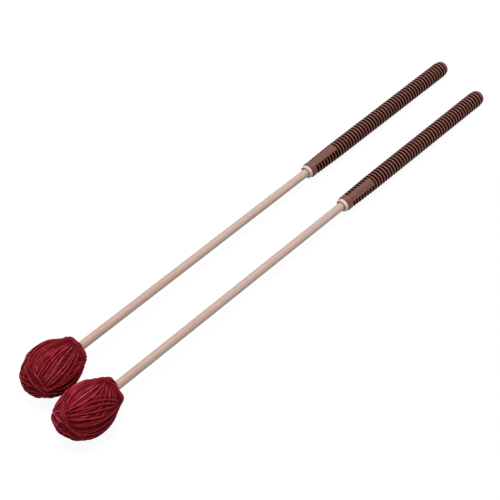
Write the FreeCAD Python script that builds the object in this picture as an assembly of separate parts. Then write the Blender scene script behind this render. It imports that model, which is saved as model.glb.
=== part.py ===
import FreeCAD, Part
import math
import os

# A pair of metallophone mallets that lie side by side on the floor at Z = 0, with their heads towards -X.
# Lengths are in millimetres and angles in degrees. The origin is the bottom centre of the pair.

# Overall sizes of one mallet
mallet_length = 396.0
head_length = 45.0
head_diameter = 34.0
widest_place = 21.1
shaft_diameter = 5.7
glue_gap = 0.05

# Yarn winding round the core
winding_thickness = 6.0
winding_end_thickness = 8.5
strand_count = 30
strand_relief = 0.9
winding_stations = 10
winding_pole_radius = 4.0
rest_flat_depth = 0.5

# Rubber core inside the winding
core_floor = 7.0

# Wooden shaft
shaft_end_chamfer = 0.6
shaft_end_gap = 0.4

# Ribbed sleeve of the grip
grip_diameter = 11.6
grip_mouth_diameter = 10.4
grip_flare_length = 26.0
mouth_band_length = 4.3
mouth_edge = 0.4
groove_count = 52
rib_spacing = 2.675
groove_width = 1.5
groove_depth = 0.95
grip_end_length = 4.0
grip_end_diameter = 10.8
grip_end_face_diameter = 5.0
grip_end_steps = 4
grip_sides = 16
shaft_in_grip = 136.0

# Bare raised panel on the sleeve
panel_width = 5.8
panel_grooves = 8
panel_lift = 0.1

# Collar in the mouth of the sleeve
collar_diameter = 9.1
collar_thickness = 2.4
collar_edge = 0.4
spigot_diameter = 7.6
spigot_length = 7.0
collar_recess_diameter = 7.3
collar_recess_depth = 1.2

# How the two mallets lie
mallet_spacing = 37.0
mallet_stagger = 4.9
front_turn = -0.05
rear_grip_roll = 3.0
front_grip_roll = 23.0

# One overrun serves every cut
overrun = 1.0

# Values that follow from the sizes above
head_radius = head_diameter / 2
shaft_radius = shaft_diameter / 2
bore_radius = shaft_radius + glue_gap
grip_radius = grip_diameter / 2
grooves_length = (groove_count - 1) * rib_spacing + groove_width
grip_length = mouth_band_length + grooves_length + grip_end_length
grip_start = mallet_length - grip_length
head_middle = head_length / 2
core_length = head_length - 2 * winding_end_thickness
core_diameter = head_diameter - 2 * winding_thickness
core_start = winding_end_thickness
core_end = core_start + core_length
bore_floor = core_start + core_floor
panel_length = mouth_band_length + panel_grooves * rib_spacing

AXIS = FreeCAD.Vector(1, 0, 0)
ORIGIN = FreeCAD.Vector(0, 0, 0)


def at(x):
    """A point on the mallet's own axis, counted from the tip of its head."""
    return FreeCAD.Vector(x, 0, 0)


def turned(outline):
    """A solid turned about the mallet's axis from a closed list of (place, radius) pairs."""
    points = [FreeCAD.Vector(x, 0, radius) for x, radius in outline]
    face = Part.Face(Part.makePolygon(points + points[:1]))
    return face.revolve(ORIGIN, AXIS, 360)


def rod(start, length, radius):
    return Part.makeCylinder(radius, length, at(start), AXIS)


def ring(x, radii):
    """The corners of a ring of straight sides, square to the axis, with one corner for each radius."""
    corners = []
    for number, radius in enumerate(radii):
        angle = 2 * math.pi * number / len(radii)
        corners.append(FreeCAD.Vector(x, radius * math.sin(angle), -radius * math.cos(angle)))
    return corners


def flat_face(corners):
    return Part.Face(Part.makePolygon(corners + corners[:1]))


def through(rings):
    """A solid through rings of one shape and many sizes, so that every face between two rings is flat."""
    faces = [flat_face(rings[0]), flat_face(rings[-1])]
    for near, far in zip(rings, rings[1:]):
        for corner in range(len(near)):
            before = corner - 1
            faces.append(flat_face([near[before], near[corner], far[corner], far[before]]))
    shell = Part.makeShell(faces)
    shell.sewShape()
    return Part.Solid(shell)


def make_shaft():
    start = bore_floor + shaft_end_gap
    end = grip_start + shaft_in_grip
    slim = shaft_radius - shaft_end_chamfer
    return turned([
        (start, 0),
        (start, slim),
        (start + shaft_end_chamfer, shaft_radius),
        (end - shaft_end_chamfer, shaft_radius),
        (end, slim),
        (end, 0),
    ])


def make_core():
    bore = rod(bore_floor, core_length + overrun, bore_radius)
    return rod(core_start, core_length, core_diameter / 2).cut(bore)


def make_winding():
    """Yarn laid from end to end over an egg: each strand is a ridge that narrows towards both ends."""
    relief_share = 1 - strand_relief / head_radius
    first = math.asin(winding_pole_radius / head_radius)
    step = (math.pi - 2 * first) / winding_stations
    rings = []
    for station in range(winding_stations + 1):
        angle = first + step * station
        oval = head_middle - head_middle * math.cos(angle) / math.cos(first)
        lead = (head_middle - widest_place) * (1 - (math.cos(angle) / math.cos(first)) ** 2)
        ridge = head_radius * math.sin(angle)
        rings.append(ring(oval - lead, [ridge, ridge * relief_share] * strand_count))
    hollow = rod(core_start - glue_gap, core_length + 2 * glue_gap, core_diameter / 2 + glue_gap)
    neck = rod(head_middle, head_length, bore_radius)
    return through(rings).cut(hollow.fuse(neck))


def crest_radius(x):
    """The sleeve flares from its mouth, then keeps its width."""
    share = min(x / grip_flare_length, 1)
    return grip_mouth_diameter / 2 + share * (grip_diameter - grip_mouth_diameter) / 2


def sleeve_outline():
    """(place, radius) pairs from the mouth of the sleeve to its domed end."""
    outline = [
        (0, crest_radius(0) - mouth_edge),
        (mouth_edge, crest_radius(mouth_edge)),
    ]
    for groove in range(groove_count):
        start = mouth_band_length + groove * rib_spacing
        middle = start + groove_width / 2
        end = start + groove_width
        outline.append((start, crest_radius(start)))
        outline.append((middle, crest_radius(middle) - groove_depth))
        if groove < groove_count - 1:
            outline.append((end, crest_radius(end)))
    dome_start = grip_length - grip_end_length
    dome_rise = (grip_end_diameter - grip_end_face_diameter) / 2
    for number in range(grip_end_steps + 1):
        angle = math.pi / 2 * number / grip_end_steps
        x = dome_start + grip_end_length * math.sin(angle)
        outline.append((x, grip_end_face_diameter / 2 + dome_rise * math.cos(angle)))
    return outline


def make_panel():
    """The smooth bare panel that stands over the first grooves, from the mouth band on."""
    start = mouth_band_length - rib_spacing / 2
    blank = turned([
        (start, 0),
        (start, crest_radius(start) + panel_lift),
        (panel_length, crest_radius(panel_length) + panel_lift),
        (panel_length, 0),
    ])
    corner = FreeCAD.Vector(start - overrun, -panel_width / 2, bore_radius + groove_depth)
    slab = Part.makeBox(panel_length, panel_width, grip_diameter, corner)
    return blank.common(slab)


def make_grip(roll):
    rings = [ring(x, [radius] * grip_sides) for x, radius in sleeve_outline()]
    sleeve = through(rings).fuse(make_panel())
    depth = shaft_in_grip + shaft_end_gap
    sleeve = sleeve.cut(rod(-overrun, depth + overrun, bore_radius))
    socket = rod(-overrun, spigot_length + shaft_end_gap + overrun, spigot_diameter / 2 + glue_gap)
    sleeve = sleeve.cut(socket)
    sleeve.rotate(ORIGIN, AXIS, roll)
    sleeve.translate(at(grip_start))
    return sleeve


def make_collar():
    front = grip_start - collar_thickness
    rim = collar_diameter / 2
    blank = turned([
        (front, 0),
        (front, rim - collar_edge),
        (front + collar_edge, rim),
        (grip_start, rim),
        (grip_start, spigot_diameter / 2),
        (grip_start + spigot_length, spigot_diameter / 2),
        (grip_start + spigot_length, 0),
    ])
    bore = rod(front - overrun, collar_thickness + spigot_length + 2 * overrun, bore_radius)
    recess = rod(front - overrun, collar_recess_depth + overrun, collar_recess_diameter / 2)
    return blank.cut(bore).cut(recess)


def lean():
    """The slope at which both the head and the last rib of the grip touch the floor."""
    last_rib = mallet_length - grip_end_length - groove_width
    run = last_rib - widest_place
    reach = math.hypot(run, grip_radius)
    return math.degrees(math.asin((head_radius - rest_flat_depth) / reach) - math.atan2(grip_radius, run))


def lay(shape, side, turn):
    """Puts a piece of a mallet down on the floor: side is 1 for the rear mallet and -1 for the front one."""
    middle = mallet_length / 2
    shape.translate(at(-middle))
    shape.rotate(ORIGIN, FreeCAD.Vector(0, 1, 0), lean())
    shape.rotate(ORIGIN, FreeCAD.Vector(0, 0, 1), turn)
    rise = head_radius - rest_flat_depth - (middle - widest_place) * math.sin(math.radians(lean()))
    shape.translate(FreeCAD.Vector(side * mallet_stagger / 2, side * mallet_spacing / 2, rise))
    return shape


def flatten(winding):
    """The soft winding is pressed flat where it rests on the floor."""
    size = mallet_length + mallet_stagger
    corner = FreeCAD.Vector(-size, -size, -head_radius)
    floor = Part.makeBox(2 * size, 2 * size, head_radius, corner)
    return winding.cut(floor)


def make_mallet(name, side, turn, grip_roll):
    pieces = {
        "shaft": make_shaft(),
        "core": make_core(),
        "winding": make_winding(),
        "grip": make_grip(grip_roll),
        "collar": make_collar(),
    }
    for piece, shape in pieces.items():
        lay(shape, side, turn)
        if piece == "winding":
            shape = flatten(shape)
        shape.exportStep("parts/" + name + "_" + piece + ".step")
        print(name, piece, shape.isValid(), len(shape.Solids), len(shape.Faces), round(shape.Volume, 1))


os.makedirs("parts", exist_ok=True)
make_mallet("rear", 1, 0, rear_grip_roll)
make_mallet("front", -1, front_turn, front_grip_roll)
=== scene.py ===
import math

import bpy
import numpy as np
from mathutils import Matrix, Vector
from mathutils.kdtree import KDTree


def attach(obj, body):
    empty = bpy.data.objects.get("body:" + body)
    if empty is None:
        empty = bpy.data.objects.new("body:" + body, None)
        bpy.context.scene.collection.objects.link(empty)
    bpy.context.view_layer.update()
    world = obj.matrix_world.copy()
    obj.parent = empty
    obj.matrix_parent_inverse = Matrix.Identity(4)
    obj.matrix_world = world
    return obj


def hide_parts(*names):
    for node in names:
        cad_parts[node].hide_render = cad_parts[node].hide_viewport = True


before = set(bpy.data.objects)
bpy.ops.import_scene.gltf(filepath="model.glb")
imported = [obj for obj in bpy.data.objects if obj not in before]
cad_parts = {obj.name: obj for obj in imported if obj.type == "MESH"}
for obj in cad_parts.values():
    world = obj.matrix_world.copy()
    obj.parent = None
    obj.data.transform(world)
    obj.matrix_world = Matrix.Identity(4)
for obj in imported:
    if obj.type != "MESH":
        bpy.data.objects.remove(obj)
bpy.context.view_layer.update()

# A pair of metallophone mallets: heads wound in crimson wool, beech shafts, cream collars and brown ribbed grips.
# Sizes are in millimetres and repeat those of the CAD source. The meshes are made in metres.

MM = 0.001

# One mallet, drawn along +X from the tip of its head
MALLET_LENGTH = 396.0
HEAD_LENGTH = 45.0
HEAD_DIAMETER = 34.0
WIDEST_PLACE = 21.1
SHAFT_DIAMETER = 5.7
BORE_RADIUS = 2.9

# Rubber core, and the shaft from inside it to inside the sleeve. Rings along the shaft keep its faces short.
CORE_START = 8.5
CORE_END = 36.5
CORE_RADIUS = 11.0
SHAFT_START = 15.9
SHAFT_END = 385.775
SHAFT_CHAMFER = 0.6
SHAFT_RING_STEP = 20

# Ribbed sleeve
GRIP_START = 249.775
GRIP_LENGTH = 146.225
GRIP_RADIUS = 5.8
MOUTH_RADIUS = 5.2
FLARE_LENGTH = 26.0
MOUTH_BAND = 4.3
MOUTH_EDGE = 0.4
MOUTH_BEVEL = 0.12
GROOVES = 52
RIB_SPACING = 2.675
GROOVE_WIDTH = 1.5
GROOVE_DEPTH = 0.95
DOME_LENGTH = 4.0
DOME_RADIUS = 5.4
DOME_STEPS = 12
END_FACE_RADIUS = 2.5
SLEEVE_BORE_DEPTH = 136.4
SOCKET_RADIUS = 3.85
SOCKET_DEPTH = 7.4
# A margin when places along the sleeve are compared
MARGIN = 0.1

# Bare panel on the sleeve. Its edge and its rim also have sizes in radians round the sleeve.
PANEL_WIDTH = 5.8
PANEL_START = 2.96
PANEL_END = 25.7
PANEL_SLOPE = 0.4
PANEL_LIFT = 0.1
PANEL_RIM = 0.2
PANEL_HALF_ANGLE = math.asin(PANEL_WIDTH / 2 / MOUTH_RADIUS)
PANEL_EDGE_ANGLE = 0.05
RIM_INSET_ANGLE = 0.09
RIM_HALF_ANGLE = 0.045

# How far hands have dulled the panel and the dome, on the mask of wear and painted groove shade where the crests of
# the ribs have 1
PANEL_WEAR = 0.92
DOME_WEAR = 0.9

# Collar
COLLAR_RADIUS = 4.55
COLLAR_LENGTH = 2.4
COLLAR_EDGE = 0.4
COLLAR_LIP = 0.3
SPIGOT_RADIUS = 3.8
SPIGOT_LENGTH = 7.0
RECESS_RADIUS = 3.65
RECESS_DEPTH = 0.9

# How the mallets lie. Yarn that would go lower than the floor is pressed into a thin layer, here in metres.
SPACING = 37.0
STAGGER = 4.9
REST_FLAT = 0.5
PRESSED_LAYER = 0.0006

# Form of the winding: where its corners are, in degrees from the neck, and how far it departs from a plain egg.
# The corners' reach is in radians, and those of the ridge and the flats are in degrees.
NECK_POLAR = 44
TIP_POLAR = 134
CORNER_BUMP = 1.5
CORNER_REACH = 0.2
NECK_RIDGE = 0.8
RIDGE_POLAR = 27
RIDGE_REACH = 9
SHOULDER_FLAT = 0.35
FLAT_REACH = 16
FLAT_PAST_NECK = 8

# How unevenly a hand winds: a group's corners in degrees, its loops and ways in radians, and the tone of a loop
CORNER_SPREAD = 2.0
LOOP_SPREAD = 0.035
WANDER = 0.07
WAVER = 0.02
TONE_SPREAD = 0.08

# Points on a long way over the head and on a short one, and points over which a corner and a waver are smoothed
LONG_WAY_POINTS = 36
SHORT_WAY_POINTS = 20
CORNER_SMOOTHING = 7
WAVER_SMOOTHING = 15

# How far the short ways are pushed aside, at the neck against the tip, and in loops that go past the shaft
NECK_PULL_SHARE = 0.55
PAST_SHAFT = 0.3
PAST_SHAFT_GROWTH = 0.55
PAST_TIP = 0.45

# Wool yarn, pressed a little wider than high
YARN_DIAMETER = 1.3
YARN_WIDENING = 1.04
YARN_FLATTENING = 0.94
YARN_LAY = 6.5
YARN_PLIES = 3
PLY_RELIEF = 0.08
YARN_SIDES = 9
YARN_STEP = 1.2

# How the turns sink under those that were laid over them. Steps are points along the thread.
DEEPEST_TURN = 1.4
PRESSED_SHARE = 0.8
OWN_TURN_STEPS = 7
BRIDGE_STEPS = 5
BRIDGE_CURVE = 7.0
DEPTH_SMOOTHING = 7
# How deep among the turns the painted shade turns to full dark
PAINTED_DARK_DEPTH = 2.2

# The bed of turns underneath
BED_DEPTH = 1.9
BED_STEPS = 48
BED_RIDGES = 60
BED_RELIEF = 0.7
RIDGE_WAVE = 0.25
RIDGE_WAVE_LENGTH = 6
RIDGE_FADE = 8
# Painted light on the bed: painted shade all over, a little lighter on the crests of its ridges
BED_PAINTED_LIGHT = 0.05
RIDGE_PAINTED_LIGHT = 0.35
BED_TONE = -0.1

HEAD_HALF = np.array([HEAD_LENGTH / 2, HEAD_DIAMETER / 2, HEAD_DIAMETER / 2])
BED_HALF = HEAD_HALF - BED_DEPTH


# ---------------------------------------------------------------- where the mallets lie

def lean():
    """The slope at which the head and the last rib both touch the floor."""
    run = MALLET_LENGTH - DOME_LENGTH - GROOVE_WIDTH - WIDEST_PLACE
    reach = math.hypot(run, GRIP_RADIUS)
    return math.asin((HEAD_DIAMETER / 2 - REST_FLAT) / reach) - math.atan2(GRIP_RADIUS, run)


def lay(side, turn):
    """The matrix that puts a mallet on the floor, from metres along its axis to metres in the scene."""
    middle = MALLET_LENGTH / 2
    rise = HEAD_DIAMETER / 2 - REST_FLAT - (middle - WIDEST_PLACE) * math.sin(lean())
    place = Matrix.Translation(Vector((side * STAGGER / 2, side * SPACING / 2, rise)) * MM)
    slope = Matrix.Rotation(math.radians(turn), 4, "Z") @ Matrix.Rotation(lean(), 4, "Y")
    return place @ slope @ Matrix.Translation((-middle * MM, 0, 0))


# ---------------------------------------------------------------- meshes

def make_piece(name, points, faces, material, matrix, sharp_angle=40):
    """A piece from points in millimetres in the mallet's own frame."""
    mesh = bpy.data.meshes.new(name)
    mesh.from_pydata([tuple(point) for point in np.asarray(points) * MM], [], faces)
    mesh.validate()
    mesh.shade_smooth()
    mesh.set_sharp_from_angle(angle=math.radians(sharp_angle))
    mesh.materials.append(material)
    piece = bpy.data.objects.new(name, mesh)
    bpy.context.scene.collection.objects.link(piece)
    piece.matrix_world = matrix
    return piece


def add_values(piece, name, values, kind="FLOAT", field="value"):
    """Gives each point of a piece a value that its material reads."""
    piece.data.attributes.new(name, kind, "POINT").data.foreach_set(field, values)


def faces_between(rows, columns, closed=False):
    """Faces through rows of equal rings of points. Closed rows join the last ring to the first."""
    faces = []
    for row in range(rows if closed else rows - 1):
        here = row * columns
        there = (row + 1) % rows * columns
        for column in range(columns):
            after = (column + 1) % columns
            faces.append((here + column, there + column, there + after, here + after))
    return faces


def turned(outline, angles, radius_at=None, closed=False):
    """Points and faces of a piece turned about the axis. The outline is (place, radius) pairs, from axis to axis,
    or closed in itself. radius_at may change a radius at an angle."""
    points = []
    ring_rows = outline if closed else outline[1:-1]
    for number, (x, radius) in enumerate(ring_rows):
        for angle in angles:
            r = radius if radius_at is None else radius_at(number, x, radius, angle)
            points.append((x, -r * math.sin(angle), r * math.cos(angle)))
    faces = faces_between(len(ring_rows), len(angles), closed)
    if not closed:
        near = len(points)
        points.append((outline[0][0], 0, 0))
        points.append((outline[-1][0], 0, 0))
        last_ring = (len(ring_rows) - 1) * len(angles)
        for column in range(len(angles)):
            after = (column + 1) % len(angles)
            faces.append((near, column, after))
            faces.append((near + 1, last_ring + after, last_ring + column))
    return points, faces


def even_angles(count):
    return [2 * math.pi * number / count for number in range(count)]


def rounded(centre_x, centre_r, radius, start, end, steps=5):
    """Points of a small round edge, its angles counted from +X towards the outside."""
    points = []
    for step in range(steps + 1):
        angle = math.radians(start + (end - start) * step / steps)
        points.append((centre_x + radius * math.cos(angle), centre_r + radius * math.sin(angle)))
    return points


# ---------------------------------------------------------------- materials

def linear(hex_colour):
    """An sRGB colour such as "a01c2e" as linear red, green, blue and alpha."""
    channels = [int(hex_colour[place:place + 2], 16) / 255 for place in (0, 2, 4)]
    return tuple(c / 12.92 if c <= 0.04045 else ((c + 0.055) / 1.055) ** 2.4 for c in channels) + (1.0,)


def add_node(tree, kind, settings=None, links=None):
    """Adds a node. settings are its properties, or values of its inputs; links are inputs with what feeds them."""
    node = tree.nodes.new(kind)
    for key, value in (settings or {}).items():
        if not isinstance(key, int) and hasattr(node, key):
            setattr(node, key, value)
        else:
            node.inputs[key].default_value = value
    for key, source in (links or {}).items():
        tree.links.new(source, node.inputs[key])
    return node


def new_material(name):
    """An empty material and its nodes."""
    material = bpy.data.materials.new(name)
    material.use_nodes = True
    material.node_tree.nodes.clear()
    return material, material.node_tree


def add_surface(tree, settings, links):
    """The shader of a material, and the output that it feeds."""
    shader = add_node(tree, "ShaderNodeBsdfPrincipled", settings, links)
    add_node(tree, "ShaderNodeOutputMaterial", links={"Surface": shader.outputs[0]})


def object_place(tree):
    """Where a point lies in its own piece, in metres."""
    return add_node(tree, "ShaderNodeTexCoord").outputs["Object"]


def point_value(tree, name):
    """The value that add_values gave the points of the piece."""
    return add_node(tree, "ShaderNodeAttribute", {"attribute_name": name}).outputs["Fac"]


def noise(tree, place, scale, detail, **more):
    """The value of a noise. A scale of three numbers draws the noise out along one axis."""
    if isinstance(scale, tuple):
        place = add_node(tree, "ShaderNodeMapping", {"Scale": scale}, {"Vector": place}).outputs["Vector"]
        scale = 1.0
    settings = {"Scale": scale, "Detail": detail, **more}
    return add_node(tree, "ShaderNodeTexNoise", settings, {"Vector": place}).outputs["Fac"]


def add_share(tree, value, share, total):
    """The total plus a share of the value."""
    return add_node(tree, "ShaderNodeMath", {"operation": "MULTIPLY_ADD", 1: share}, {0: value, 2: total}).outputs[0]


def ramp(tree, source, stops):
    """A colour ramp from (place, hex colour) stops."""
    node = add_node(tree, "ShaderNodeValToRGB", links={"Fac": source})
    elements = node.color_ramp.elements
    while len(elements) < len(stops):
        elements.new(0.5)
    for element, (place, colour) in zip(elements, stops):
        element.position = place
        element.color = linear(colour)
    return node.outputs["Color"]


def dyed_wool():
    """Wool yarn, spun and plied, dyed crimson: matt, with a soft sheen from loose fibres at grazing light, a painted
    highlight on the crests of the turns and painted shade between them.
    """
    material, tree = new_material("dyed_wool_yarn")
    fibre = add_node(tree, "ShaderNodeAttribute", {"attribute_name": "fibre"}).outputs["Vector"]
    # Fibre coordinates are millimetres along the thread and round it. Fibres run 4 mm and lie 0.2 mm apart.
    fibres = noise(tree, fibre, (0.25, 5.0, 5.0), 3.0, Roughness=0.6)
    # The dye takes unevenly along about 9 mm of thread.
    dye = noise(tree, fibre, (0.11, 0.25, 0.25), 2.0)
    mixed = add_share(tree, fibres, 0.5, point_value(tree, "tone"))
    mixed = add_share(tree, dye, 0.5, mixed)
    # Painted highlight: where the painted light value is high, on the upper side of each turn and on turns on top, the
    # colour climbs the ramp to a lighter pink. Painted shade: where it is low, between and under the turns, the colour
    # sinks towards 380006.
    painted_light = point_value(tree, "painted_light")
    mixed = add_share(tree, painted_light, 0.3, mixed)
    colour = ramp(tree, mixed, [(0.45, "5e040a"), (0.75, "8b111c"), (0.97, "c65066")])
    painted_shade = add_node(tree, "ShaderNodeMapRange", {1: 0.1, 2: 0.85, 3: 0.1, 4: 1.0}, {0: painted_light}).outputs[0]
    colour = add_node(tree, "ShaderNodeMix", {"data_type": "RGBA", 6: linear("380006")},
                      {0: painted_shade, 7: colour}).outputs[2]
    bump = add_node(tree, "ShaderNodeBump", {"Strength": 0.35, "Distance": 0.0002}, {"Height": fibres})
    add_surface(tree, {"Roughness": 0.7, "IOR": 1.54, "Specular IOR Level": 0.1, "Sheen Weight": 0.4,
                       "Sheen Roughness": 0.35, "Sheen Tint": linear("f07888")},
                {"Base Color": colour, "Normal": bump.outputs["Normal"]})
    return material


def turned_beech():
    """Beech dowel, turned and sanded, bare: pinkish beige, with short darker flecks along the grain."""
    material, tree = new_material("turned_beech")
    place = object_place(tree)
    # Grain lines are 0.7 mm apart and run 60 mm; flecks are 0.4 mm wide and 4 mm long.
    grain = noise(tree, place, (16, 1400, 1400), 4.0, Distortion=0.4)
    flecks = noise(tree, place, (250, 2500, 2500), 1.0)
    patches = noise(tree, place, (28, 120, 120), 1.0)
    wood = ramp(tree, grain, [(0.3, "b09b8e"), (0.7, "c2aea1")])
    pinker = add_node(tree, "ShaderNodeMix", {"data_type": "RGBA", "blend_type": "MULTIPLY", 7: linear("f4e0da")},
                      {0: patches, 6: wood}).outputs[2]
    fleck_mask = ramp(tree, flecks, [(0.62, "ffffff"), (0.72, "d8bcae")])
    flecked = add_node(tree, "ShaderNodeMix", {"data_type": "RGBA", "blend_type": "MULTIPLY", 0: 0.6},
                       {6: pinker, 7: fleck_mask}).outputs[2]
    bump = add_node(tree, "ShaderNodeBump", {"Strength": 0.15, "Distance": 0.0001}, {"Height": grain})
    add_surface(tree, {"Roughness": 0.5, "IOR": 1.5, "Specular IOR Level": 0.4},
                {"Base Color": flecked, "Normal": bump.outputs["Normal"]})
    return material


def moulded_vinyl():
    """Soft vinyl, moulded and satin: brown, paler where hands have dulled the crests, with painted shade darkening the
    grooves.
    """
    material, tree = new_material("moulded_soft_vinyl")
    place = object_place(tree)
    # From 0 at the bottom of a groove to 1 on a crest: wear on the crests, and painted shade down into the grooves.
    worn_and_shaded = point_value(tree, "wear_and_groove_shade")
    mottle = noise(tree, place, 350.0, 3.0)
    colour = ramp(tree, worn_and_shaded, [(0.0, "240300"), (0.5, "360a03"), (0.85, "583228"), (1.0, "80564a")])
    clouded = add_node(tree, "ShaderNodeMix", {"data_type": "RGBA", "blend_type": "MULTIPLY", 0: 0.5},
                       {6: colour, 7: ramp(tree, mottle, [(0.3, "d9d0cc"), (0.7, "ffffff")])}).outputs[2]
    grain = noise(tree, place, 2500.0, 2.0)
    bump = add_node(tree, "ShaderNodeBump", {"Strength": 0.2, "Distance": 0.0001}, {"Height": grain})
    # The grooves and flanks lose their specular, a painted shade that keeps reflections out of them.
    groove_shaded_gloss = add_node(tree, "ShaderNodeMapRange", {1: 0.6, 2: 1.0, 3: 0.0, 4: 0.4}, {0: worn_and_shaded}).outputs[0]
    add_surface(tree, {"Roughness": 0.42, "IOR": 1.5},
                {"Base Color": clouded, "Specular IOR Level": groove_shaded_gloss, "Normal": bump.outputs["Normal"]})
    return material


def moulded_nylon():
    """Nylon, moulded smooth and satin: a pinkish cream."""
    material, tree = new_material("moulded_nylon")
    mottle = noise(tree, object_place(tree), 400.0, 2.0)
    colour = ramp(tree, mottle, [(0.3, "c8aa9e"), (0.7, "d4b8ac")])
    add_surface(tree, {"Roughness": 0.45, "IOR": 1.53, "Specular IOR Level": 0.3}, {"Base Color": colour})
    return material


def moulded_rubber():
    """Rubber, moulded matt and nearly black. The yarn hides it."""
    material, tree = new_material("moulded_rubber")
    mottle = noise(tree, object_place(tree), 300.0, 2.0)
    colour = ramp(tree, mottle, [(0.3, "1c1a1a"), (0.7, "2a2727")])
    add_surface(tree, {"Roughness": 0.8, "IOR": 1.52}, {"Base Color": colour})
    return material


def sees_white(tree):
    """1 for the rays of the camera, of gloss and through glass, which see plain white, and 0 for all others."""
    rays = add_node(tree, "ShaderNodeLightPath").outputs
    seen = rays["Is Camera Ray"]
    for ray in ("Is Glossy Ray", "Is Transmission Ray"):
        seen = add_node(tree, "ShaderNodeMath", {"operation": "MAXIMUM"}, {0: seen, 1: rays[ray]}).outputs[0]
    return seen


def studio_paper():
    """White paper under the mallets: it shows white to the camera and in gloss, and keeps a faint shadow."""
    material, tree = new_material("studio_paper")
    share = add_node(tree, "ShaderNodeMath", {"operation": "MULTIPLY", 1: 0.9}, {0: sees_white(tree)}).outputs[0]
    paper = add_node(tree, "ShaderNodeBsdfDiffuse", {"Color": linear("d2d2d2")})
    white = add_node(tree, "ShaderNodeEmission", {"Color": (1, 1, 1, 1), "Strength": 1.05})
    mixed = add_node(tree, "ShaderNodeMixShader", links={0: share, 1: paper.outputs[0], 2: white.outputs[0]})
    add_node(tree, "ShaderNodeOutputMaterial", links={"Surface": mixed.outputs[0]})
    return material


# ---------------------------------------------------------------- shaft, collar and sleeve

def make_shaft(name, matrix, material):
    radius = SHAFT_DIAMETER / 2
    outline = [(SHAFT_START, 0), (SHAFT_START, radius - SHAFT_CHAMFER), (SHAFT_START + SHAFT_CHAMFER, radius)]
    outline += [(SHAFT_START + SHAFT_RING_STEP * step, radius) for step in range(1, 19)]
    outline += [(SHAFT_END - SHAFT_CHAMFER, radius), (SHAFT_END, radius - SHAFT_CHAMFER), (SHAFT_END, 0)]
    points, faces = turned(outline, even_angles(64))
    return make_piece(name, points, faces, material, matrix)


def make_collar(name, matrix, material):
    front = GRIP_START - COLLAR_LENGTH
    outline = [(front + RECESS_DEPTH, BORE_RADIUS), (front + RECESS_DEPTH, RECESS_RADIUS)]
    outline += rounded(front + COLLAR_LIP, RECESS_RADIUS + COLLAR_LIP, COLLAR_LIP, 270, 180, 3)
    outline += rounded(front + COLLAR_EDGE, COLLAR_RADIUS - COLLAR_EDGE, COLLAR_EDGE, 180, 90)
    outline += [(GRIP_START, COLLAR_RADIUS), (GRIP_START, SPIGOT_RADIUS)]
    outline += [(GRIP_START + SPIGOT_LENGTH, SPIGOT_RADIUS), (GRIP_START + SPIGOT_LENGTH, BORE_RADIUS)]
    points, faces = turned(outline, even_angles(72), closed=True)
    return make_piece(name, points, faces, material, matrix)


def crest_radius(x):
    """The sleeve's radius over its crests, x from the mouth."""
    return MOUTH_RADIUS + min(max(x / FLARE_LENGTH, 0), 1) * (GRIP_RADIUS - MOUTH_RADIUS)


def sleeve_outline():
    """The sleeve from the bottom of its bore, out of the mouth, over the ribs and round the dome, and how many of
    its rows are inside."""
    inside = [(SLEEVE_BORE_DEPTH, 0), (SLEEVE_BORE_DEPTH, BORE_RADIUS), (SOCKET_DEPTH, BORE_RADIUS)]
    inside += [(SOCKET_DEPTH, SOCKET_RADIUS), (MOUTH_BEVEL, SOCKET_RADIUS), (0, SOCKET_RADIUS + MOUTH_BEVEL)]
    outside = rounded(MOUTH_EDGE, MOUTH_RADIUS - MOUTH_EDGE, MOUTH_EDGE, 180, 90)
    for x in (MOUTH_BAND / 3, PANEL_START - MARGIN / 2, PANEL_START + PANEL_SLOPE / 2, PANEL_START + PANEL_SLOPE):
        outside.append((x, crest_radius(x)))
    # Half a groove from its edge to its bottom: share of the half width, and share of the depth
    flank = [(1.45, 0.03), (1.15, 0.13), (0.98, 0.38), (0.84, 0.7), (0.55, 0.93), (0, 1)]
    for groove in range(GROOVES):
        middle = MOUTH_BAND + groove * RIB_SPACING + GROOVE_WIDTH / 2
        for share, depth in flank + [(-share, depth) for share, depth in reversed(flank[:-1])]:
            x = middle - share * GROOVE_WIDTH / 2
            outside.append((x, crest_radius(x) - depth * GROOVE_DEPTH))
        if groove < GROOVES - 1:
            crest = middle + RIB_SPACING / 2
            outside.append((crest, crest_radius(crest)))
    # The last flank ends on the rim of the dome
    dome_start = GRIP_LENGTH - DOME_LENGTH
    outside = [point for point in outside if point[0] < dome_start - MARGIN]
    for step in range(DOME_STEPS + 1):
        angle = math.pi / 2 * step / DOME_STEPS
        x = dome_start + DOME_LENGTH * math.sin(angle)
        outside.append((x, END_FACE_RADIUS + (DOME_RADIUS - END_FACE_RADIUS) * math.cos(angle)))
    outline = inside + outside + [(GRIP_LENGTH, 0)]
    return [(x + GRIP_START, radius) for x, radius in outline], len(inside) - 1


def sleeve_angles(roll):
    """Angles round the sleeve, closer together at the panel's long edges. They start at the panel's middle."""
    # From inside the rim, over its crest, to the foot of the edge
    near = [PANEL_HALF_ANGLE + step for step in (-0.16, -0.13, -0.09, -0.05, -0.03, 0.0)]
    middle = np.linspace(0, near[0], 8)[1:-1].tolist()
    away = np.linspace(near[-1], 2 * math.pi - near[-1], 66)[1:-1].tolist()
    right = [0.0] + middle + near
    left = [2 * math.pi - angle for angle in reversed(middle + near)]
    return [angle + math.radians(roll) for angle in right + away + left]


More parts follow.
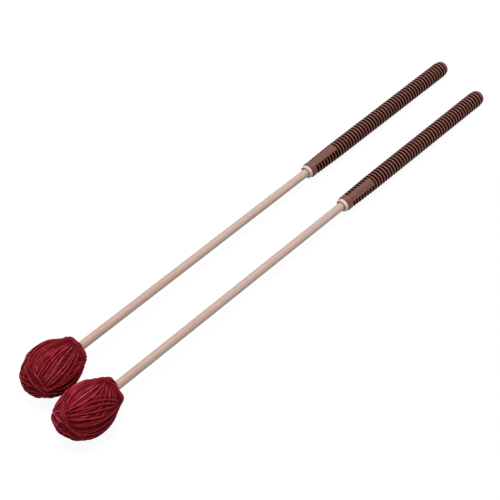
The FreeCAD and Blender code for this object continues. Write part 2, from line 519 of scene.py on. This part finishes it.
def make_sleeve(name, matrix, material, roll):
    outline, inner_rows = sleeve_outline()
    rolled = math.radians(roll)

    def with_panel(number, x, radius, angle):
        """The panel fills the first grooves and carries a fine rim along its long edges."""
        place = x - GRIP_START
        if number < inner_rows or place < PANEL_START or place > PANEL_END + MARGIN:
            return radius
        off = abs((angle - rolled + math.pi) % (2 * math.pi) - math.pi)
        inwards = min(max((PANEL_HALF_ANGLE - off) / PANEL_EDGE_ANGLE, 0), 1)
        share = inwards * min((place - PANEL_START) / PANEL_SLOPE, 1)
        rim = PANEL_RIM * max(0, 1 - abs(off - PANEL_HALF_ANGLE + RIM_INSET_ANGLE) / RIM_HALF_ANGLE)
        panel = crest_radius(place) + PANEL_LIFT + rim
        return radius + (panel - radius) * share

    points, faces = turned(outline, sleeve_angles(roll), with_panel)
    piece = make_piece(name, points, faces, material, matrix, 50)
    # Wear on the crests and painted shade in the grooves, from how deep each point lies under the crests
    worn_and_shaded = []
    for x, y, z in points:
        place = x - GRIP_START
        most = PANEL_WEAR if place < PANEL_END else 1
        depth = crest_radius(place) - math.hypot(y, z)
        on_dome = place > GRIP_LENGTH - DOME_LENGTH - MARGIN
        worn_and_shaded.append(DOME_WEAR if on_dome else most * min(max(1 - depth / GROOVE_DEPTH, 0), 1))
    add_values(piece, "wear_and_groove_shade", worn_and_shaded)
    return piece


# ---------------------------------------------------------------- the way of the thread over a head

def on_head(polar, azimuth):
    """A direction from the middle of the head: degrees from the neck, and degrees round from the top towards +Y."""
    p, a = math.radians(polar), math.radians(azimuth)
    return np.array([math.cos(p), math.sin(p) * math.sin(a), math.sin(p) * math.cos(a)])


def egg_lead(along):
    """How far the oval is pulled towards the tip, along from -1 at the tip to 1 at the neck, to make it an egg."""
    return (HEAD_LENGTH / 2 - WIDEST_PLACE) * (1 - along * along)


def unit(rows):
    return rows / np.linalg.norm(rows, axis=-1, keepdims=True)


def square_to(ways, direction):
    """A direction made square to each of the ways."""
    return unit(direction - (ways @ direction)[:, None] * ways)


def lay_over(start, end, push, steps):
    """Directions of yarn laid from one place to another, pushed aside on its way by what push gives there."""
    share = np.linspace(0, 1, steps, endpoint=False)[:, None]
    angle = math.acos(max(-1, min(1, float(start @ end))))
    way = (np.sin((1 - share) * angle) * start + np.sin(share * angle) * end) / math.sin(angle)
    return unit(way + push(way) * np.sin(math.pi * share))


def turns(kind, first, loops, fan=60, lead=0, neck=(-5, 5), tip=(-5, 5), pull=0.5, shift=0):
    """A group of loops of the thread, one beside the other, all in degrees on the head.

    A side loop frames the side of the head between the first corner and the next one, a ring goes right round the
    head at a slant, and a past loop goes over the tip and by the shaft, on one side of it and the other in turn.
    From the first loop to the last, the corners move aside from and to the values in neck and tip, and the long ways
    between them fan out over fan degrees round lead. Pull draws the short ways towards the shaft and the tip, and
    shift turns the group's corners round the head.
    """
    return {"kind": kind, "first": first, "loops": loops, "fan": fan, "lead": lead, "neck": neck, "tip": tip,
            "pull": pull, "shift": shift}


def wind_loops(neck_azimuths, tip_azimuths, groups, seed):
    """One thread wound from end to end over the head, round four corners near the neck and four near the tip: its
    directions from the middle of the head, and its tones."""
    chance = np.random.default_rng(seed)
    thread = []
    tones = []

    def corner(end, number, drift):
        azimuths, polar = (neck_azimuths, NECK_POLAR) if end == "neck" else (tip_azimuths, TIP_POLAR)
        return on_head(polar + drift[0], azimuths[number % 4] + drift[1])

    for group in groups:
        kind, first = group["kind"], group["first"]
        drift = chance.normal(0, CORNER_SPREAD, (4, 2)) + [0, group["shift"]]
        if kind == "side":
            stops = [("neck", first), ("neck", first + 1), ("tip", first + 1), ("tip", first)]
        elif kind == "ring":
            stops = [("neck", first), ("neck", first + 1), ("tip", first + 2), ("tip", first + 3)]
        else:
            stops = [("neck", first), ("neck", first + 2), ("tip", first + 2), ("tip", first)]
        corners = [corner(*stop, moved) for stop, moved in zip(stops, drift)]
        centre = unit(sum(corners)) if kind == "side" else None
        if kind == "ring":
            aside = unit(np.cross(corners[0] - corners[2], corners[1] - corners[3]))
        else:
            aside = unit(np.cross(corners[0], corners[1]))

        def moved_aside(place, amount):
            """A corner moved outwards from the middle of its side, or square to a loop that goes round the head."""
            way = place[None, :]
            outwards = aside if centre is None else unit(way - (way @ centre)[:, None] * centre)
            return unit(way + outwards * amount)[0]

        by_shaft = PAST_SHAFT if chance.random() < 0.5 else -PAST_SHAFT
        for t in np.linspace(-1, 1, group["loops"]):
            here = []
            for place, (end, _) in zip(corners, stops):
                amount = math.radians(np.interp(t, (-1, 1), group[end])) + chance.normal(0, LOOP_SPREAD)
                here.append(moved_aside(place, amount))
            wander = chance.normal(0, WANDER, 4)
            loop = []
            for number in range(4):
                start, end = here[number], here[(number + 1) % 4]
                if number % 2:
                    amount = math.radians(group["fan"] / 2 * t + group["lead"]) + wander[number]
                    across = aside if centre is None else unit(np.cross(start, end))
                    if centre is not None and across @ centre > 0:
                        across = -across
                    loop.append(lay_over(start, end, lambda way: across * amount, LONG_WAY_POINTS))
                elif kind == "past":
                    amount = PAST_TIP * t + wander[number]
                    if number == 0:
                        amount = by_shaft * (1 + PAST_SHAFT_GROWTH * (t + 1))
                    loop.append(lay_over(start, end, lambda way: aside * amount, SHORT_WAY_POINTS))
                else:
                    pole = np.array([1.0 if number == 0 else -1.0, 0, 0])
                    most = group["pull"] * (NECK_PULL_SHARE if number == 0 else 1.0)
                    amount = most * (0.5 + 0.5 * t * (1 if kind == "side" else -1)) + wander[number]
                    loop.append(lay_over(start, end, lambda way: square_to(way, pole) * amount, SHORT_WAY_POINTS))
            by_shaft = -by_shaft
            thread += loop
            tones.append(np.full(sum(map(len, loop)), chance.uniform(-TONE_SPREAD, TONE_SPREAD)))
    return np.vstack(thread), np.concatenate(tones)


def smooth_rows(rows, width):
    """A running mean with soft ends, for rows of numbers along the thread."""
    window = np.hanning(width + 2)[1:-1]
    window /= window.sum()
    padded = np.concatenate([np.repeat(rows[:1], width // 2, axis=0), rows, np.repeat(rows[-1:], width // 2, axis=0)])
    return np.stack([np.convolve(padded[:, i], window, "valid") for i in range(rows.shape[1])], axis=1)


def thread_course(how):
    """Even steps along the thread of one head, with its direction and its tone at each."""
    ways, tones = wind_loops(how["neck_corners"], how["tip_corners"], how["turns"], how["seed"])
    ways = unit(smooth_rows(ways, CORNER_SMOOTHING))
    places = ways * BED_HALF
    lengths = np.concatenate([[0], np.cumsum(np.linalg.norm(np.diff(places, axis=0), axis=1))])
    steps = np.arange(0, lengths[-1], YARN_STEP)
    ways = unit(np.stack([np.interp(steps, lengths, ways[:, i]) for i in range(3)], axis=1))
    tones = np.interp(steps, lengths, tones)
    chance = np.random.default_rng(how["seed"] + 1)
    ways = unit(ways + smooth_rows(chance.normal(0, 1, (len(ways), 3)), WAVER_SMOOTHING) * WAVER)
    return steps, ways, tones


# ---------------------------------------------------------------- wound heads

def depths_under(places):
    """How deep each point of the thread lies under the turns that were laid over it later."""
    reach = YARN_DIAMETER
    tree = KDTree(len(places))
    for number, place in enumerate(places):
        tree.insert(place, number)
    tree.balance()
    depths = [0.0] * len(places)
    for number in reversed(range(len(places))):
        deepest = 0.0
        for _, other, gap in tree.find_range(places[number], reach):
            if other > number + OWN_TURN_STEPS:
                deepest = max(deepest, depths[other] + PRESSED_SHARE * math.sqrt(reach * reach - gap * gap))
        depths[number] = deepest
    # The turns under many others are pressed close together
    return DEEPEST_TURN * (1 - np.exp(-np.array(depths) / DEEPEST_TURN))


def bridge(depths):
    """Taut yarn can't spring up at once where it comes out from under a turn: it rises slowly."""
    bridged = depths.copy()
    for step in range(1, BRIDGE_STEPS + 1):
        rise = (step * YARN_STEP) ** 2 / BRIDGE_CURVE
        bridged[step:] = np.maximum(bridged[step:], depths[:-step] - rise)
        bridged[:-step] = np.maximum(bridged[:-step], depths[step:] - rise)
    return smooth_rows(bridged[:, None], DEPTH_SMOOTHING)[:, 0]


def bulges(ways, bumps):
    """How far the wound surface stands out of a plain egg: at bumps, such as the corners, where all turns cross and
    pile up, and in a ridge round the shaft. It is flat between, where the turns run straight."""
    bump = np.zeros(len(ways))
    for polar, azimuth, height in bumps:
        off = np.arccos(np.clip(ways @ on_head(polar, azimuth), -1, 1))
        bump += height * np.exp(-(off / CORNER_REACH) ** 2)
    polar = np.degrees(np.arccos(ways[:, 0]))
    ridge = NECK_RIDGE * np.exp(-((polar - RIDGE_POLAR) / RIDGE_REACH) ** 2)
    by_neck = np.exp(-((polar - NECK_POLAR - FLAT_PAST_NECK) / FLAT_REACH) ** 2)
    by_tip = np.exp(-((polar - TIP_POLAR) / FLAT_REACH) ** 2)
    return bump + ridge - SHOULDER_FLAT * (by_neck + by_tip)


def make_thread(how, bumps):
    """The thread as one tube with twisted plies: its points, faces, fibre coordinates, tones and painted light."""
    steps, ways, tones = thread_course(how)
    sunk = bridge(depths_under(ways * (HEAD_HALF - YARN_DIAMETER)))
    outward = unit(ways / HEAD_HALF)
    centres = ways * (HEAD_HALF - YARN_DIAMETER / 2) + outward * (bulges(ways, bumps) - sunk)[:, None]
    # The thread stays clear of the shaft
    off = np.linalg.norm(centres[:, 1:], axis=1)
    clear = SHAFT_DIAMETER / 2 + YARN_DIAMETER / 2
    push = np.where(centres[:, 0] > 0, np.maximum(clear / np.maximum(off, 0.01), 1), 1)
    centres[:, 1:] *= push[:, None]

    tangents = unit(np.gradient(centres, axis=0))
    across = unit(np.cross(tangents, outward))
    above = np.cross(across, tangents)
    sides = np.arange(YARN_SIDES) * 2 * math.pi / YARN_SIDES
    twisted = sides[None, :] + steps[:, None] * 2 * math.pi / YARN_LAY
    radii = YARN_DIAMETER / 2 * (1 + PLY_RELIEF * np.cos(YARN_PLIES * sides))
    ring = (centres[:, None, :]
            + across[:, None, :] * (radii * np.cos(twisted) * YARN_WIDENING)[:, :, None]
            + above[:, None, :] * (radii * np.sin(twisted) * YARN_FLATTENING)[:, :, None])
    points = ring.reshape(-1, 3)
    points[:, 0] += HEAD_LENGTH / 2 - np.repeat(egg_lead(ways[:, 0]), YARN_SIDES)
    faces = faces_between(len(steps), YARN_SIDES)
    faces.append(tuple(range(YARN_SIDES)))
    faces.append(tuple(reversed(range(len(points) - YARN_SIDES, len(points)))))

    fibres = np.stack([np.repeat(steps, YARN_SIDES),
                       np.tile(YARN_DIAMETER / 2 * np.cos(sides), len(steps)),
                       np.tile(YARN_DIAMETER / 2 * np.sin(sides), len(steps))], axis=1)
    # Painted light: the upper side of each turn and the turns on top get light, and painted shade falls down the sides
    # of a turn and on turns sunk under others.
    depth = sunk[:, None] + YARN_DIAMETER / 2 * (1 - np.sin(twisted))
    painted_light = np.clip(1 - depth / PAINTED_DARK_DEPTH, 0, 1).ravel()
    return points, faces, fibres, np.repeat(tones, YARN_SIDES), painted_light


def make_bed(bumps):
    """The turns underneath, as one ridged egg with room for the core and the shaft: its points, faces and painted
    light.
    """
    outline = []
    for step in range(BED_STEPS + 1):
        angle = math.pi * step / BED_STEPS
        outline.append((-BED_HALF[0] * math.cos(angle), BED_HALF[1] * math.sin(angle)))
    reach = BED_HALF[0] * math.sqrt(1 - (BORE_RADIUS / BED_HALF[1]) ** 2)
    outline = [(x, radius) for x, radius in outline if x < reach] + [(reach, BORE_RADIUS)]
    outline = [(x + HEAD_LENGTH / 2 - egg_lead(x / BED_HALF[0]), radius) for x, radius in outline]
    outer_rows = len(outline) - 1
    outline += [(CORE_END, BORE_RADIUS), (CORE_END, CORE_RADIUS), (CORE_START, CORE_RADIUS), (CORE_START, 0)]

    def crest_share(x, angle):
        return abs(math.cos(BED_RIDGES / 2 * (angle + RIDGE_WAVE * math.sin(2 * angle + x / RIDGE_WAVE_LENGTH))))

    def ridged(number, x, radius, angle):
        if number >= outer_rows:
            return radius
        return radius - BED_RELIEF * (1 - crest_share(x, angle)) * min(1, radius / RIDGE_FADE)

    angles = even_angles(8 * BED_RIDGES)
    points, faces = turned(outline, angles, ridged)
    points = np.array(points)
    outer = outer_rows * len(angles)
    # Painted shade darkens the whole bed, and painted light lifts the crests of its ridges.
    painted_light = np.full(len(points), BED_PAINTED_LIGHT)
    painted_light[:outer] += [RIDGE_PAINTED_LIGHT * crest_share(x, angle) for x, _ in outline[1:outer_rows + 1]
                         for angle in angles]
    ways = unit((points[:outer] - [HEAD_LENGTH / 2, 0, 0]) / BED_HALF)
    points[:outer] += ways * bulges(ways, bumps)[:, None]
    return points, faces, painted_light


def pressed(points, matrix):
    """The points, with the lowest ones pressed flat on the floor."""
    stand = np.array(matrix)
    down = (points * MM) @ stand[:3, :3].T + stand[:3, 3]
    low = down[:, 2] < PRESSED_LAYER
    down[low, 2] = PRESSED_LAYER * np.exp((down[low, 2] - PRESSED_LAYER) / PRESSED_LAYER)
    back = np.linalg.inv(stand)
    return (down @ back[:3, :3].T + back[:3, 3]) / MM


def make_winding(name, matrix, material, how):
    """The thread and the bed of turns under it, as one piece."""
    bumps = [(NECK_POLAR, azimuth, CORNER_BUMP) for azimuth in how["neck_corners"]]
    bumps += [(TIP_POLAR, azimuth, CORNER_BUMP) for azimuth in how["tip_corners"]]
    bumps += how["bumps"]
    points, faces, fibres, tones, painted_light = make_thread(how, bumps)
    bed_points, bed_faces, bed_painted_light = make_bed(bumps)
    faces += [tuple(number + len(points) for number in face) for face in bed_faces]
    points = pressed(np.vstack([points, bed_points]), matrix)
    piece = make_piece(name, points, faces, material, matrix, 180)
    add_values(piece, "fibre", np.vstack([fibres, bed_points]).ravel(), "FLOAT_VECTOR", "vector")
    add_values(piece, "tone", np.concatenate([tones, np.full(len(bed_points), BED_TONE)]))
    add_values(piece, "painted_light", np.concatenate([painted_light, bed_painted_light]))
    return piece


# ---------------------------------------------------------------- the camera, at the photograph's angle

AZIMUTH = math.radians(-45.59)
ELEVATION = math.radians(52.75)
DISTANCE = 891.4
AIM = Vector((-16.86, 4.65, 0.07)) * MM

towards_camera = Vector((math.sin(AZIMUTH) * math.cos(ELEVATION), -math.cos(AZIMUTH) * math.cos(ELEVATION),
                         math.sin(ELEVATION)))
camera = bpy.data.objects.new("camera", bpy.data.cameras.new("camera"))
camera.data.sensor_width = 36.0
camera.data.lens = 96.9
camera.data.clip_start = 0.01
camera.location = AIM + towards_camera * DISTANCE * MM
camera.rotation_euler = towards_camera.to_track_quat("Z", "Y").to_euler()
bpy.context.scene.collection.objects.link(camera)
bpy.context.scene.camera = camera

# ---------------------------------------------------------------- build both mallets

wool = dyed_wool()
beech = turned_beech()
vinyl = moulded_vinyl()
nylon = moulded_nylon()
rubber = moulded_rubber()

# The first turns fill the head, and the last ones are those that the photograph shows on top.
FIRST_TURNS = [
    turns("past", 0, 7, shift=20), turns("past", 1, 7, shift=20), turns("ring", 1, 8, shift=30),
    turns("side", 2, 8, shift=50), turns("ring", 3, 8, shift=60), turns("side", 0, 8, shift=35),
    turns("ring", 0, 8, shift=45), turns("side", 1, 8, shift=20), turns("ring", 2, 8, shift=25),
    turns("side", 3, 8, shift=45), turns("past", 0, 6, shift=65), turns("ring", 3, 8), turns("side", 2, 7, fan=50),
]
REAR_TURNS = FIRST_TURNS + [
    turns("ring", 2, 9, fan=40, lead=10, tip=(0, 40)), turns("past", 1, 8), turns("past", 0, 7),
    turns("side", 1, 6, fan=50), turns("side", 3, 4, fan=30, pull=0.4),
    turns("ring", 0, 9, fan=20, lead=2, neck=(-22, 2), tip=(-4, 50)), turns("side", 0, 6, fan=34, lead=-4),
    turns("side", 3, 3, fan=20, lead=12, pull=0.3), turns("ring", 0, 10, fan=30, lead=4, neck=(-24, 2), tip=(0, 46)),
    turns("side", 0, 7, fan=40, lead=-22), turns("past", 1, 6, fan=60, lead=30),
    turns("side", 3, 3, fan=16, lead=14, pull=0.1),
]
FRONT_TURNS = FIRST_TURNS + [
    turns("ring", 0, 6), turns("past", 1, 8), turns("past", 0, 7), turns("side", 1, 6, fan=50),
    turns("side", 0, 6, fan=30, lead=10), turns("ring", 2, 8, fan=30, lead=8, neck=(-8, 4), tip=(-4, 48)),
    turns("side", 3, 3, fan=20, lead=10, pull=0.3), turns("ring", 0, 3, fan=30, lead=-22, neck=(-6, 0), pull=0.4),
    turns("side", 0, 5, fan=30, lead=-30), turns("ring", 2, 12, fan=44, lead=12, neck=(-8, 4), tip=(0, 52)),
    turns("side", 0, 8, fan=56), turns("past", 1, 6, fan=60, lead=30, shift=-14),
    turns("side", 3, 3, fan=26, lead=12, pull=0.1),
]
# Turn is about Z and roll about the mallet's own axis, in degrees. Corners are degrees round the head. Bumps are
# degrees from the neck, degrees round the head and a height.
MALLETS = {
    "rear": {
        "side": 1, "turn": 0.0, "roll": 3.0, "seed": 5, "turns": REAR_TURNS,
        "neck_corners": (12, 98, 188, 278), "tip_corners": (18, 108, 193, 283),
        "bumps": [(43, 38, 0.5), (100, 68, 0.5), (122, 78, 0.7), (137, 85, 0.5), (155, 195, -0.8), (157, 180, 1.0),
                  (42, 265, -0.8), (23, 300, -0.8), (23, 4, -0.9)],
    },
    "front": {
        "side": -1, "turn": -0.05, "roll": 23.0, "seed": 11, "turns": FRONT_TURNS,
        "neck_corners": (14, 98, 188, 272), "tip_corners": (10, 98, 188, 278),
        "bumps": [(24, 8, 1.8), (45, 36, 1.1), (56, 48, 0.8), (126, 76, 0.6), (144, 92, 1.2), (158, 135, 0.6),
                  (134, 188, -1.3), (150, 203, -1.9), (124, 228, -0.9), (31, 279, 1.3), (43, 262, -1.4),
                  (23, 300, -0.6)],
    },
}

for mallet, how in MALLETS.items():
    place = lay(how["side"], how["turn"])
    made = {
        "shaft": (make_shaft(mallet + "_beech_shaft", place, beech), "beech"),
        "collar": (make_collar(mallet + "_cream_collar", place, nylon), "collar_plastic"),
        "grip": (make_sleeve(mallet + "_ribbed_sleeve", place, vinyl, how["roll"]), "grip_plastic"),
        "winding": (make_winding(mallet + "_yarn_winding", place, wool, how), "yarn"),
    }
    for node, (piece, slot) in made.items():
        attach(piece, mallet + "_mallet")
        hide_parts(mallet + "_" + node)
    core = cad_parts[mallet + "_core"]
    core.data.materials.clear()
    core.data.materials.append(rubber)

# ---------------------------------------------------------------- floor and light

floor_mesh = bpy.data.meshes.new("floor")
floor_mesh.from_pydata([(-3, -3, 0), (3, -3, 0), (3, 3, 0), (-3, 3, 0)], [], [(0, 1, 2, 3)])
floor_mesh.materials.append(studio_paper())
floor = bpy.data.objects.new("floor", floor_mesh)
bpy.context.scene.collection.objects.link(floor)


def softbox(name, place, size, watts):
    """A square lamp that points at the middle of the mallets."""
    lamp = bpy.data.objects.new(name, bpy.data.lights.new(name, "AREA"))
    lamp.data.size = size
    lamp.data.energy = watts
    lamp.location = place
    lamp.rotation_euler = Vector(place).to_track_quat("Z", "Y").to_euler()
    bpy.context.scene.collection.objects.link(lamp)


softbox("key_lamp", (0.0, 0.1, 1.7), 0.8, 31)
softbox("side_lamp", (-0.3, 1.5, 0.7), 0.8, 2.5)

world = bpy.data.worlds.new("studio")
world.use_nodes = True
world_tree = world.node_tree
world_tree.nodes.clear()
world_light = add_node(world_tree, "ShaderNodeBackground", {"Color": linear("f2f4ff"), "Strength": 0.3})
world_white = add_node(world_tree, "ShaderNodeBackground", {"Color": (1, 1, 1, 1), "Strength": 1.0})
world_mix = add_node(world_tree, "ShaderNodeMixShader",
                     links={0: sees_white(world_tree), 1: world_light.outputs[0], 2: world_white.outputs[0]})
add_node(world_tree, "ShaderNodeOutputWorld", links={"Surface": world_mix.outputs[0]})
bpy.context.scene.world = world
bpy.context.scene.view_settings.view_transform = "Standard"
